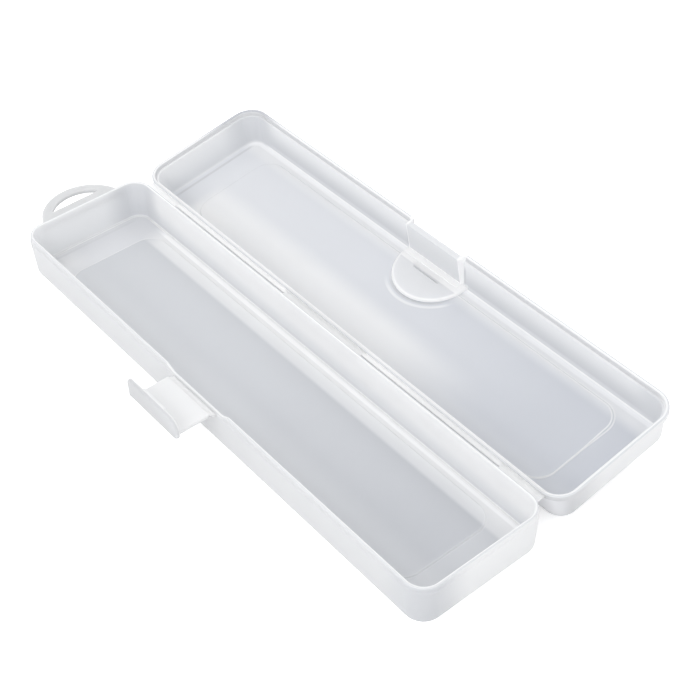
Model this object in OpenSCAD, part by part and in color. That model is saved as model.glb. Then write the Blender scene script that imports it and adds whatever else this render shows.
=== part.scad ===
// Hinged brush case: a shallow tray, a lid that fits round its rim, and a snap latch.
// Lengths are in millimetres. The case lies open, with the tray's underside on Z = 0,
// the lid towards +Y, the latch towards -Y and the hang loop at the -X end.

/* [Base tray] */
// Length of the base tray over its walls
base_l = 200; // [160:1:260]
// Width of the base tray over its walls
base_w = 47; // [44:0.5:80]
// Height of the base tray, underside to rim
base_h = 15.6; // [12:0.2:30]
// Thickness of the base walls
base_wall = 1.4; // [1.2:0.1:2]
// Thickness of the base floor
base_floor = 1.6; // [1:0.1:2.2]
// How far each base wall leans in between rim and underside
base_lean = 0.7; // [0.2:0.1:1.5]
// Radius of the base tray's bottom edge
base_edge_r = 2.2; // [1.8:0.1:3.2]
// Radius of the four upright corners, outside
corner_r = 7; // [6.5:0.5:12]

/* [Lid tray] */
// Height of the lid tray, from its flat face to the edge of its skirt
lid_h = 13.6; // [10:0.2:20]
// Thickness of the lid walls
lid_wall = 1.1; // [0.9:0.1:1.4]
// Thickness of the lid's flat face
lid_floor = 1; // [0.8:0.1:1.6]
// How far each lid wall leans in towards the flat face
lid_lean = 1.4; // [0.3:0.1:1.6]
// Radius of the edge round the lid's flat face
lid_edge_r = 2.6; // [1.8:0.1:3.6]

/* [Rim] */
// Height of the tongue on the base rim, which goes inside the lid's skirt
tongue_h = 1.5; // [1:0.1:2.5]
// Thickness of the tongue
tongue_t = 0.9; // [0.6:0.05:1]
// How far the lid's skirt stands out past the base wall
skirt_out = 0.8; // [0.5:0.05:1]
// Height of the band that the skirt makes round the lid
band_h = 2; // [1.6:0.1:3]
// Free space between tongue and skirt, and under the skirt, when shut
rim_gap = 0.2; // [0.15:0.05:0.35]

/* [Floor panels] */
// Height of the step at the edge of each floor panel
panel_step = 0.3; // [0.1:0.05:0.5]
// Plain floor between a long wall's foot and the panel
panel_side = 2.6; // [1:0.2:5]
// Plain floor between an end wall's foot and the panel
panel_end = 12; // [4:0.2:20]
// Corner radius of the panels
panel_r = 7; // [4:0.5:9]

/* [Living hinge] */
// Space between the two trays when the case lies flat
hinge_gap = 2.3; // [2:0.1:4]
// How far the lid's rim lies below the base's rim when flat
lid_drop = 1; // [0.5:0.1:1.4]
// Angle between shut and fully open
lid_open = 171.2; // [150:0.2:178]
// Thickness of the hinge webs
web_t = 0.6; // [0.4:0.05:0.8]
// Length of the middle web
web_mid_l = 38; // [10:1:50]
// Length of each of the two slits beside the middle web
web_slit_l = 60; // [30:0.5:64]
// Distance from the ends of the base tray to the outer webs
web_end = 5; // [3:0.5:8]
// Width of those slits, which a ledge on the lid makes narrower than the hinge gap
slit_w = 1.5; // [1.4:0.1:1.8]
// Width of the thinned fold line in every web
fold_w = 0.3; // [0.2:0.05:0.4]

/* [Latch] */
// Where the latch sits along the tray
latch_x = -0.5; // [-30:0.1:30]
// How far the latch's fold lies out from the front wall
latch_out = 0.8; // [0.5:0.1:0.8]
// Depth of the notch in the base rim at the latch
notch_d = 1.7; // [1.5:0.1:2.5]
// Length of each sloping end of that notch
notch_slope = 4.5; // [1:0.5:6]
// Width of the latch strap
strap_w = 21.2; // [14:0.2:22]
// Thickness of the latch strap
strap_t = 1.2; // [0.9:0.1:1.6]
// Where the strap proper starts, outward of its fold
strap_root = 1; // [0.6:0.1:1.5]
// How far the flap reaches over the lid
flap_reach = 7.6; // [6:0.2:9]
// Thickness of the flap
flap_t = 1.2; // [0.9:0.1:1.6]
// Corner radius of the flap
flap_r = 3.2; // [2:0.2:3.6]
// Radius of the flap's long outer edge
flap_edge_r = 0.7; // [0.3:0.1:0.8]
// Thickness of the strap where it folds
neck_t = 0.4; // [0.3:0.05:0.6]
// Length of the hook under the flap
hook_l = 11; // [6:0.5:16]
// Thickness of the hook
hook_t = 0.6; // [0.5:0.1:1]
// How far the hook stands down from the flap
hook_h = 0.5; // [0.4:0.05:0.8]
// Radius of the round end of the flap's recess in the lid, which is twice as wide
recess_r = 13; // [12.6:0.1:16]
// How far the centre of that round end lies in from the front of the lid
recess_in = 3.1; // [3:0.1:6]
// Free space over and under the latch when shut
latch_gap = 0.2; // [0.1:0.05:0.3]
// Free space at each side of the flap in its recess
flap_side_gap = 0.3; // [0.2:0.1:1]
// Free space at each side of the strap in its pocket
strap_side_gap = 1.1; // [0.4:0.1:2]
// Thickness of the wall behind the strap's pocket
pocket_wall = 1.9; // [1.2:0.1:2.2]
// How far that wall's edge lies below the edge of the skirt
pocket_low = 0.3; // [0.2:0.05:1]
// Free space between the hook and the flap's free edge
hook_edge_gap = 0.2; // [0.15:0.05:0.6]
// How much longer the slot is than the hook
slot_spare = 0.9; // [0.6:0.1:3]

/* [Hang loop] */
// How far the loop stands out from the end wall
loop_out = 11.8; // [10:0.2:15]
// Radius of the loop's outer edge
loop_r = 15.2; // [15:0.2:18]
// Thickness of the loop
loop_t = 1.4; // [1:0.1:2]
// Width of the band round the loop's hole
loop_band = 3.3; // [2:0.1:4]
// Width of the bridge between the end wall and the hole
loop_bridge = 3.8; // [2:0.1:4.5]

/* [Hidden] */
$fn = 96;
clear_by = 1;
root_l = 0.2;

// Both trays are swept round one rectangle, which joins their corner centres.
core_l = base_l - 2 * corner_r;
core_w = base_w - 2 * corner_r;
shoulder_w = base_wall - tongue_t;
shoulder_z = base_h - tongue_h;
skirt_in = shoulder_w - rim_gap;
base_fillet_r = max(0.4, base_edge_r - base_wall);
lid_fillet_r = max(0.4, lid_edge_r - lid_wall);
ledge_z = lid_h - tongue_h;

// The lid turns about one line along X, set so that it shuts square on the base.
lid_y = base_w / 2 + hinge_gap + base_w / 2 + skirt_out;
lid_rim_z = base_h - lid_drop;
hinge_y = lid_y / 2;
hinge_z = (lid_rim_z + shoulder_z + rim_gap) / 2;
lid_tilt = 180 - lid_open;
web_mid = web_mid_l / 2;
web_start = web_mid + web_slit_l;
web_stop = base_l / 2 - web_end;
web_inset = corner_r / 2;

// The latch folds level with the notch, outside the front wall. Its u runs outward when open, v up.
notch_z = base_h - notch_d;
strap_l = lid_h + shoulder_z + rim_gap - notch_z;
strap_v = latch_gap / 2;
strap_top = strap_v + strap_t;
pocket_d = strap_top + latch_gap - latch_out;
pocket_top = lid_h - pocket_low;
recess_d = flap_t + latch_gap;
flap_w = 2 * (recess_r - flap_side_gap);
pocket_w = strap_w + 2 * strap_side_gap;
hook_out = flap_reach + strap_v - hook_t - hook_edge_gap;
hook_u = strap_l - flap_t - hook_h;
catch_u = strap_l - recess_d;
slot_out = sqrt(pow(hook_u, 2) + pow(hook_out, 2) - pow(catch_u, 2)) - latch_gap / 2 - latch_out;
slot_in = hook_out + hook_t + latch_gap - latch_out;
slot_l = hook_l + slot_spare;
catch_top = recess_d + lid_floor;

frosted = [0.90, 0.92, 0.94];
frosted_lid = [0.84, 0.88, 0.92];
frosted_latch = [0.95, 0.95, 0.93];
frosted_web = [0.74, 0.79, 0.84];

// Outer half section of a tray from a corner centre, with a round bottom edge.
module outer_section(r, h, lean, edge_r) {
    a = atan(lean / h);
    u = r - lean * (1 - edge_r / h) - edge_r / cos(a);
    polygon([[0, 0], [u, 0], [u + edge_r * cos(a), edge_r * (1 - sin(a))], [r, h], [0, h]]);
    translate([u, edge_r]) intersection() {
        circle(edge_r);
        translate([0, -edge_r]) square(edge_r);
    }
}

// Half section of the space inside a tray, open at the top.
module inner_section(r, h, lean, floor_t, fillet_r) {
    a = atan(lean / h);
    z = floor_t + fillet_r;
    u = r - lean * (1 - z / h) - fillet_r / cos(a);
    polygon([[0, floor_t], [u, floor_t], [u + fillet_r * cos(a), z - fillet_r * sin(a)],
             [r + lean * clear_by / h, h + clear_by], [0, h + clear_by]]);
    translate([u, z]) intersection() {
        circle(fillet_r);
        translate([0, -fillet_r]) square(fillet_r);
    }
}

// Sweeps a half section round the rectangle of corner centres.
module sweep_round() {
    for (sx = [0, 1], sy = [0, 1])
        mirror([sx, 0, 0]) mirror([0, sy, 0])
            translate([core_l / 2, core_w / 2, 0]) rotate_extrude(angle = 90) children();
    for (s = [0, 1])
        mirror([s, 0, 0]) translate([core_l / 2, core_w / 2, 0])
            rotate([90, 0, 0]) linear_extrude(height = core_w) children();
    for (s = [0, 1])
        mirror([0, s, 0]) translate([-core_l / 2, core_w / 2, 0])
            rotate([90, 0, 90]) linear_extrude(height = core_l) children();
}

module core_slab(t) {
    translate([-core_l / 2, -core_w / 2, 0]) cube([core_l, core_w, t]);
}

// A rectangle with round corners, centred.
module round_rect(l, w, r) {
    square([l - 2 * r, w], center = true);
    square([l, w - 2 * r], center = true);
    for (sx = [-1, 1], sy = [-1, 1])
        translate([sx * (l / 2 - r), sy * (w / 2 - r)]) circle(r);
}

// Plan of a floor panel inside walls of the given thickness, lean and fillet.
module panel_plan(wall, lean, fillet_r) {
    foot = wall + lean + fillet_r;
    round_rect(base_l - 2 * (foot + panel_end), base_w - 2 * (foot + panel_side), panel_r);
}

module base_outer() {
    sweep_round() outer_section(corner_r, base_h, base_lean, base_edge_r);
    core_slab(base_h);
}

// Outer half section of the lid, with the band of its skirt standing out above a slope.
module lid_outer_section() {
    band_z = lid_h - band_h;
    slope_z = band_z - skirt_out;
    outer_section(corner_r, lid_h, lid_lean, lid_edge_r);
    polygon([[corner_r - lid_wall, slope_z], [corner_r - lid_lean * (1 - slope_z / lid_h), slope_z],
             [corner_r + skirt_out, band_z], [corner_r + skirt_out, lid_h], [corner_r - lid_wall, lid_h]]);
}

module lid_outer() {
    sweep_round() lid_outer_section();
    core_slab(lid_h);
}

// Moves a lid drawn face down round the origin to its place beside the base, lying flat.
module lid_flat() {
    translate([0, lid_y, lid_rim_z - lid_h]) children();
}

// Turns what lies flat beside the base up to the lid's open position.
module lid_turned() {
    translate([0, hinge_y, hinge_z]) rotate([lid_tilt, 0, 0])
        translate([0, -hinge_y, -hinge_z]) children();
}

// Space of the notch in the front rim, with sloping ends.
module notch_space() {
    low = pocket_w / 2;
    high = low + notch_slope * (1 + clear_by / notch_d);
    translate([latch_x, -base_w / 2 + base_wall + base_lean + clear_by, notch_z]) rotate([90, 0, 0])
        linear_extrude(height = base_wall + base_lean + 2 * clear_by)
            polygon([[-low, 0], [low, 0], [high, notch_d + clear_by], [-high, notch_d + clear_by]]);
}

module base_tray() {
    color(frosted) difference() {
        union() {
            sweep_round() difference() {
                outer_section(corner_r, base_h, base_lean, base_edge_r);
                inner_section(corner_r - base_wall, base_h, base_lean, base_floor, base_fillet_r);
                translate([corner_r - shoulder_w, shoulder_z])
                    square([shoulder_w + clear_by, tongue_h + clear_by]);
            }
            core_slab(base_floor);
            linear_extrude(height = base_floor + panel_step) panel_plan(base_wall, base_lean, base_fillet_r);
        }
        notch_space();
    }
}

// A disc let into the end wall, with a hole in the shape of a bow and string.
module hang_loop() {
    color(frosted) difference() {
        translate([loop_r - loop_out - base_l / 2, 0, shoulder_z - loop_t]) difference() {
            cylinder(h = loop_t, r = loop_r);
            translate([0, 0, -clear_by]) linear_extrude(height = loop_t + 2 * clear_by) difference() {
                circle(loop_r - loop_band);
                translate([loop_out - loop_r - loop_bridge, -loop_r]) square(2 * loop_r);
            }
        }
        base_outer();
    }
}

// The short lip on the front wall that the latch folds from.
module latch_web() {
    color(frosted_web) difference() {
        translate([latch_x - strap_w / 2, -base_w / 2 - latch_out - root_l, notch_z - web_t - strap_v])
            cube([strap_w, latch_out + root_l + base_wall, web_t]);
        base_outer();
    }
}

// Base half of one hinge web, between two places along the tray.
module web_on_base(x0, x1) {
    color(frosted_web) difference() {
        translate([x0, base_w / 2 - web_inset, shoulder_z - web_t])
            cube([x1 - x0, hinge_y - fold_w / 2 - base_w / 2 + web_inset, web_t]);
        base_outer();
    }
}

// Flat strip on the lid's back wall at web height, from a line y to the wall.
module lid_strip(x0, x1, y) {
    color(frosted_web) lid_turned() difference() {
        translate([x0, y, shoulder_z - web_t])
            cube([x1 - x0, base_w / 2 + hinge_gap + web_inset - y, web_t]);
        lid_flat() lid_outer();
    }
}

// Lid half of one hinge web, between two places along the tray.
module web_on_lid(x0, x1) {
    lid_strip(x0, x1, hinge_y + fold_w / 2);
}

module hinge_web_far_base() { web_on_base(-web_stop, -web_start); }
module hinge_web_middle_base() { web_on_base(-web_mid, web_mid); }
module hinge_web_near_base() { web_on_base(web_start, web_stop); }
module hinge_web_far_lid() { web_on_lid(-web_stop, -web_start); }
module hinge_web_middle_lid() {
    web_on_lid(-web_mid, web_mid);
    lid_strip(-web_start, -web_mid, base_w / 2 + slit_w);
    lid_strip(web_mid, web_start, base_w / 2 + slit_w);
}

module hinge_web_near_lid() { web_on_lid(web_start, web_stop); }

// Plan of the flap's recess, round at its inner end and open at the front, grown by a wall.
module recess_plan(grow) {
    r = recess_r + grow;
    translate([latch_x, base_w / 2 - recess_in]) {
        circle(r);
        translate([-r, 0]) square([2 * r, recess_in + skirt_out + clear_by]);
    }
}

// Space that the strap takes in the lid's front wall.
module pocket_space() {
    translate([latch_x - pocket_w / 2, base_w / 2 - pocket_d, -clear_by])
        cube([pocket_w, pocket_d + skirt_out + clear_by, lid_h + 2 * clear_by]);
}

// Block that the strap pocket's walls are cut from, between two depths behind the front line.
module pocket_block(depth, low, high, start = -skirt_out - clear_by) {
    translate([latch_x - pocket_w / 2 - lid_wall, base_w / 2 - depth, low])
        cube([pocket_w + 2 * lid_wall, depth - start, high - low]);
}

module lid_tray() {
    fillet_reach = lid_wall + lid_lean + lid_fillet_r;
    color(frosted_lid) lid_turned() lid_flat() difference() {
        union() {
            sweep_round() difference() {
                lid_outer_section();
                inner_section(corner_r - lid_wall, lid_h, lid_lean, lid_floor, lid_fillet_r);
                translate([0, ledge_z]) square([corner_r - skirt_in, tongue_h + clear_by]);
            }
            core_slab(lid_floor);
            linear_extrude(height = lid_floor + panel_step) panel_plan(lid_wall, lid_lean, lid_fillet_r);
        }
        translate([0, 0, -clear_by]) linear_extrude(height = panel_step + clear_by)
            panel_plan(lid_wall, lid_lean, lid_fillet_r);
        translate([0, 0, -clear_by]) linear_extrude(height = catch_top + clear_by) recess_plan(lid_wall);
        pocket_block(pocket_d + pocket_wall, -clear_by, ledge_z);
        pocket_block(fillet_reach, catch_top, ledge_z);
        pocket_space();
    }
}

// The recess and pocket in the lid that take the latch, with the slot for its hook.
module latch_catch() {
    color(frosted_lid) lid_turned() lid_flat() difference() {
        intersection() {
            union() {
                linear_extrude(height = catch_top) recess_plan(lid_wall);
                pocket_block(pocket_d + pocket_wall, 0, ledge_z);
                pocket_block(pocket_d + pocket_wall, ledge_z, pocket_top, skirt_in);
            }
            lid_outer();
        }
        translate([0, 0, -clear_by]) linear_extrude(height = recess_d + clear_by) recess_plan(0);
        translate([0, 0, -clear_by]) linear_extrude(height = panel_step + clear_by)
            panel_plan(lid_wall, lid_lean, lid_fillet_r);
        translate([latch_x - slot_l / 2, base_w / 2 - slot_in, -clear_by])
            cube([slot_l, slot_in - slot_out, catch_top + 2 * clear_by]);
        pocket_space();
    }
}

// Sets what is drawn with Y outward and Z up from the latch's fold on the front wall.
module on_latch() {
    translate([latch_x, -base_w / 2 - latch_out, notch_z]) mirror([0, 1, 0]) children();
}

module latch_strap() {
    color(frosted_latch) on_latch() {
        translate([-strap_w / 2, strap_root, strap_v])
            cube([strap_w, strap_l - flap_t - strap_root, strap_t]);
        translate([-strap_w / 2, fold_w, strap_v]) cube([strap_w, strap_root - fold_w, neck_t]);
    }
}

// The plate across the end of the strap, which lies in the finger recess when shut.
module latch_flap() {
    color(frosted_latch) on_latch() intersection() {
        translate([0, strap_l, flap_reach / 2]) rotate([90, 0, 0]) linear_extrude(height = flap_t)
            intersection() {
                translate([0, -flap_r]) round_rect(flap_w, flap_reach + 2 * flap_r, flap_r);
                translate([-flap_w / 2, strap_v - flap_reach / 2]) square([flap_w, flap_reach]);
            }
        translate([-flap_w / 2, 0, 0]) rotate([90, 0, 90]) linear_extrude(height = flap_w) union() {
            translate([strap_l - flap_t, strap_v]) square([flap_t - flap_edge_r, flap_reach]);
            translate([strap_l - flap_t, strap_v + flap_edge_r]) square([flap_t, flap_reach]);
            translate([strap_l - flap_edge_r, strap_v + flap_edge_r]) circle(flap_edge_r);
        }
    }
}

module latch_hook() {
    color(frosted_latch) on_latch()
        translate([-hook_l / 2, strap_l - flap_t - hook_h, hook_out]) cube([hook_l, hook_h, hook_t]);
}

base_tray();
hang_loop();
latch_web();
hinge_web_far_base();
hinge_web_middle_base();
hinge_web_near_base();
lid_tray();
latch_catch();
hinge_web_far_lid();
hinge_web_middle_lid();
hinge_web_near_lid();
latch_strap();
latch_flap();
latch_hook();
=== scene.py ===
import math
from functools import partial

import bmesh
import bpy
from mathutils import Matrix, Vector


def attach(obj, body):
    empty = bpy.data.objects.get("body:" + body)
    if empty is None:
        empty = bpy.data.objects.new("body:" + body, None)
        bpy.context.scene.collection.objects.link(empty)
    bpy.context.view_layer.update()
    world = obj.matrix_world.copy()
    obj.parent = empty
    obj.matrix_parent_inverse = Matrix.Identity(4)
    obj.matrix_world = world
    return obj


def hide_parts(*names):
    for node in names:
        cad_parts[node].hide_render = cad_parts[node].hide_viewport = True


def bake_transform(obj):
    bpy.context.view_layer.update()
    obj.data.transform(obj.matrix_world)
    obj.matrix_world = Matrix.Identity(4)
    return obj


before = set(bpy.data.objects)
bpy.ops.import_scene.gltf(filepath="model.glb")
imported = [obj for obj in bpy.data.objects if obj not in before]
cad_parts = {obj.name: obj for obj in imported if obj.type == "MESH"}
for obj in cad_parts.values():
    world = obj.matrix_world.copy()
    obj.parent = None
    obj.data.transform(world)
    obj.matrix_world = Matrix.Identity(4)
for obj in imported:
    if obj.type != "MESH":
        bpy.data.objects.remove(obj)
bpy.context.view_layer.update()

# Shapes are drawn in millimetres and set into the meshes in metres.
MM = 0.001
CORNER_STEPS = 14
EASE_STEPS = 6
STATE_STEPS = 6
RIM_STEPS = 4
SHARP_FROM = math.radians(35)
# No two rings have quite the same height, so that each bridge between them runs straight.
RING_NUDGE = 1e-4

# Both trays are rings round one rectangle, which joins their corner centres.
CORE_L = 93.0
CORE_W = 16.5
LATCH_X = -0.5

# Base tray, with a tongue on its rim and a notch for the latch in its front.
BASE_H = 15.6
BASE_R = 7.0
BASE_LEAN = 0.7
BASE_WALL = 1.4
BASE_FLOOR = 1.6
BASE_EDGE = 2.1
BASE_FILLET = 0.8
# The underside ends in a flat face within its edge.
BASE_FLAT = 3.0
TONGUE_T = 0.9
TONGUE_H = 1.5
SHOULDER = BASE_H - TONGUE_H
NOTCH_Z = 13.9
NOTCH_LOW = 11.7
NOTCH_HIGH = 16.2
NOTCH_MIDDLE = 6.2
# Where the front wall changes is also a key, so it is rounded as the rings' value is.
NOTCH_AT = round((NOTCH_LOW + NOTCH_HIGH) / 2, 3)

# Lid tray, with a skirt on its rim and a pocket for the latch in its front.
LID_H = 13.6
LID_LEAN = 1.4
LID_WALL = 1.1
LID_FLOOR = 1.0
LID_EDGE = 2.34
LID_FILLET = 1.35
BAND_H = 2.0
SKIRT_OUT = 0.8
SKIRT_IN = 0.3
SKIRT_FOOT = LID_H - TONGUE_H
POCKET_OUT = 6.3
POCKET_IN = 4.1
POCKET_LOW = 6.8
POCKET_TOP = 13.3
POCKET_TOP_STEPS = (5.7, 5.2)
POCKET_HALF = 11.7
# Where the front wall turns into the pocket's outer and inner face, and half the length of each turn.
POCKET_OUT_AT = round(POCKET_HALF + 0.2, 3)
POCKET_OUT_TURN = 0.6
POCKET_IN_AT = round(POCKET_HALF + LID_WALL, 3)
POCKET_IN_TURN = 0.45

PANEL_R = 7.0
PANEL_STEP = 0.3
PANEL_EASE = 0.25
BASE_PANEL = (85.1, 18.0)
LID_PANEL = (85.0, 17.5)

# The fold line, and where the lid lies when it is open.
HINGE_Y = 25.05
HINGE_Z = 14.45
LID_Y = 50.1
LID_DROP = 1.0
LID_TILT = math.radians(8.8)

WEB_T = 0.6
WEB_Y = 25.0
WEB_HALF = 2.0
WEB_STEPS = 32
WEB_END = 95.0
WEBS = {"far": (-WEB_END, -79.0), "middle": (-19.0, 19.0), "near": (79.0, WEB_END)}
SLIT = (23.5, 25.0)
# Between these places across the fold line a web follows both trays in part.
FOLD_HALF = 0.2
GROOVE = 0.12
GROOVE_HALF = 0.5
LEDGE_FRONT = 24.4
LEDGE_BACK = 27.0
LEDGE_LAP = 0.3
LEDGE_INSET = 0.02
LEDGE_EASE = 0.12

# The catch: a finger recess, the half round that it raises inside, and a slot. FRONT is the wall's face.
FRONT = CORE_W + BASE_R
RECESS_R = 13.0
RECESS_IN = 3.1
RECESS_D = 1.4
RECESS_EASE = 0.3
CATCH_LOW = 0.7
CATCH_TOP = 2.4
CATCH_BACK = 1.3
CATCH_EASE = 0.8
# The catch's raised part shows a little further along and further in than its recess.
CATCH_SHIFT = (0.8, -0.8)
# A low sill runs along the foot of the pocket.
SILL_HALF = 12.6
SILL_IN = 18.5
SILL_BACK = 1.6
SILL_LOW = 1.6
SILL_TOP = CATCH_TOP + 0.2
SILL_EASE = 0.18
SLOT = (16.65, 17.6)
SLOT_TOP = 2.0
SLOT_HALF_L = 5.95
SLOT_HALF_W = 0.48
SLOT_SEEN = (0.3, 15.85)
SLOT_SEEN_HALF_W = 0.24
SLOT_SEEN_LOW = 1.9
SLOT_SEEN_TOP = 3.0
# How far the cutters reach past the lid's outside and its front.
CUT_BELOW = 2.0
CUT_FRONT = 3.0

LATCH_Y = -24.3
STRAP_L = 14.0
STRAP_HALF = 10.6
STRAP_ROOT = 1.0
STRAP_LOW = 0.1
STRAP_HIGH = 1.3
STRAP_LAP = 0.6
STRAP_BEND = 3.2
FLAP_HALF = 12.7
FLAP_TOP = 7.7
FLAP_T = 1.2
HOOK = (6.9, 7.5)
HOOK_HALF = 5.5
HOOK_OUT = 0.5
HOOK_EASE = 0.15
NECK_T = 0.5
NECK_Z = 13.35
NECK_RISE = 0.62
NECK_Y = -23.0
NECK_LAP = 0.4
NECK_STEPS = 20
# Places from the latch's fold line, along +Y, and the length of the bend.
NECK_BEND = (0.6, 1.4)

# The hang loop: an outer and an inner arc, and the root that is let into the end wall.
LOOP_X = -96.6
LOOP_R = 15.2
LOOP_BAND = 3.4
LOOP_T = 1.4
LOOP_LOW = SHOULDER - LOOP_T
LOOP_WALL_X = -99.9
LOOP_HOLE_X = -104.1
LOOP_ROOT_X = -99.3
LOOP_ROOT_HALF = 16.4
LOOP_OUTER_EASE = 1.6
LOOP_HOLE_EASE = 1.0
LOOP_EDGE = 0.35
LOOP_STEPS = 64

CAMERA_PLACE = (272.77, -179.62, 323.38)
CAMERA_TURN = (-51.794, 43.326, -2.146)
CAMERA_LENS = 76.48
CAMERA_SENSOR = 36
TABLE_SIZE = 4000
WORLD_TONE = (0.985, 0.99, 1.0, 1)
WORLD_STRENGTH = 0.88

lid_turn = (Matrix.Translation((0, HINGE_Y, HINGE_Z)) @ Matrix.Rotation(LID_TILT, 4, "X")
            @ Matrix.Translation((0, -HINGE_Y, -HINGE_Z)))
lid_place = lid_turn @ Matrix.Translation((0, LID_Y, LID_DROP))


# Shapes

def round_corners(bm, corners, ease, steps):
    """Rounds corners of a line or face; each arc starts at ease from its corner."""
    bmesh.ops.bevel(bm, geom=corners, offset=ease, offset_type="OFFSET", segments=steps,
                    profile=0.5, affect="VERTICES", material=-1)


def eased_corner(before, corner, after, ease):
    """Points that round one corner of a section."""
    if not ease:
        return [corner]
    bm = bmesh.new()
    spots = [bm.verts.new((*spot, 0)) for spot in (before, corner, after)]
    for start, stop in zip(spots, spots[1:]):
        bm.edges.new((start, stop))
    round_corners(bm, [spots[1]], ease, EASE_STEPS)
    line = [spots[0]]
    edge = spots[0].link_edges[0]
    while edge:
        line.append(edge.other_vert(line[-1]))
        edge = next((e for e in line[-1].link_edges if e != edge), None)
    points = [(spot.co.x, spot.co.y) for spot in line[1:-1]]
    bm.free()
    return points


def eased_section(corners):
    """One list of points for each corner of a section, whose ends stay sharp."""
    spots = [corner[:2] for corner in corners]
    padded = [spots[0]] + spots + [spots[-1]]
    return [eased_corner(padded[i], padded[i + 1], padded[i + 2], corner[2])
            for i, corner in enumerate(corners)]


def section_rings(plain, changed, turns_at):
    """Rings of a tray wall, each with how far it shifts where the section changes."""
    rings = []
    for points, shifted, at in zip(eased_section(plain), eased_section(changed), turns_at):
        for (out, up), (out_there, up_there) in zip(points, shifted):
            rings.append((CORE_L + out, CORE_W + out, out, up, out_there - out, up_there - up, at))
    return rings


def panel_rings(size, floor):
    """Rings of the soft step round a floor panel."""
    return [(size[0] + grow, size[1] + grow, PANEL_R + grow, floor + PANEL_STEP * share, 0, 0, 0)
            for grow, share in ((PANEL_EASE, 0), (0.5 * PANEL_EASE, 0.12),
                                (-0.5 * PANEL_EASE, 0.88), (-PANEL_EASE, 1))]


def add_ring(bm, half_l, half_w, radius, up):
    """A flat face with round corners."""
    before = set(bm.faces)
    corners = [bm.verts.new((sx * half_l, sy * half_w, up))
               for sx, sy in ((-1, -1), (1, -1), (1, 1), (-1, 1))]
    bm.faces.new(corners)
    round_corners(bm, corners, radius, CORNER_STEPS)
    return (set(bm.faces) - before).pop()


def stack_rings(bm, rings):
    """Joins rings into one closed skin, which keeps its first and last faces."""
    layers = [bm.verts.layers.float.new(name) for name in ("shift_out", "shift_up", "turns_at")]
    faces = []
    for index, (half_l, half_w, radius, up, *shifts) in enumerate(rings):
        face = add_ring(bm, half_l, half_w, radius, up + index * RING_NUDGE)
        for vert in face.verts:
            for layer, value in zip(layers, shifts):
                vert[layer] = value
        faces.append(face)
    loops = [list(face.edges) for face in faces]
    bmesh.ops.delete(bm, geom=faces[1:-1], context="FACES_ONLY")
    for lower, upper in zip(loops, loops[1:]):
        bmesh.ops.bridge_loops(bm, edges=lower + upper)
    return layers


def smooth_share(value):
    """A share from 0 to 1 that leaves both ends gently."""
    value = min(1.0, max(0.0, value))
    return value * value * (3 - 2 * value)


def change_front(bm, layers, front, spans):
    """Moves the front wall to its other section between two places along the tray."""
    for at, half in spans.items():
        for side in (-1, 1):
            for step in range(STATE_STEPS + 1):
                place = LATCH_X + side * (at + half * (2 * step / STATE_STEPS - 1))
                bmesh.ops.bisect_plane(bm, geom=bm.verts[:] + bm.edges[:] + bm.faces[:],
                                       plane_co=(place, 0, 0), plane_no=(1, 0, 0))
    shift_out, shift_up, turns_at = layers
    for vert in bm.verts:
        at = round(vert[turns_at], 3)
        if at in spans and vert.co.y * front > 0:
            half = spans[at]
            share = smooth_share((at + half - abs(vert.co.x - LATCH_X)) / (2 * half))
            vert.co.y += front * vert[shift_out] * share
            vert.co.z += vert[shift_up] * share


def lean_at(radius, lean, height, up):
    """How far a leaning face lies from the corner centres at one height."""
    return radius - lean * (1 - up / height)


def base_rings():
    """The base tray from its underside, over the tongue and in to its floor panel."""
    outer = partial(lean_at, BASE_R, BASE_LEAN, BASE_H)
    inner = partial(lean_at, BASE_R - BASE_WALL, BASE_LEAN, BASE_H)
    tongue_out = BASE_R - BASE_WALL + TONGUE_T
    start = (BASE_FLAT, 0, 0)
    stop = (inner(BASE_FLOOR), BASE_FLOOR, BASE_FILLET)
    plain = [(outer(0), 0, BASE_EDGE), (outer(SHOULDER), SHOULDER - 0.3, 0.3),
             (tongue_out, SHOULDER + 0.2, 0.3), (tongue_out, BASE_H, 0.25), (inner(BASE_H), BASE_H, 0.3)]
    notched = [(outer(0), 0, BASE_EDGE), (outer(NOTCH_Z), NOTCH_Z, 0.25),
               (tongue_out, NOTCH_Z, 0.05), (NOTCH_MIDDLE, NOTCH_Z, 0.05), (inner(NOTCH_Z), NOTCH_Z, 0.3)]
    turns_at = [0, 0] + [NOTCH_AT] * 4 + [0]
    rings = section_rings([start] + plain + [stop], [start] + notched + [stop], turns_at)
    return rings + panel_rings(BASE_PANEL, BASE_FLOOR)


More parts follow.
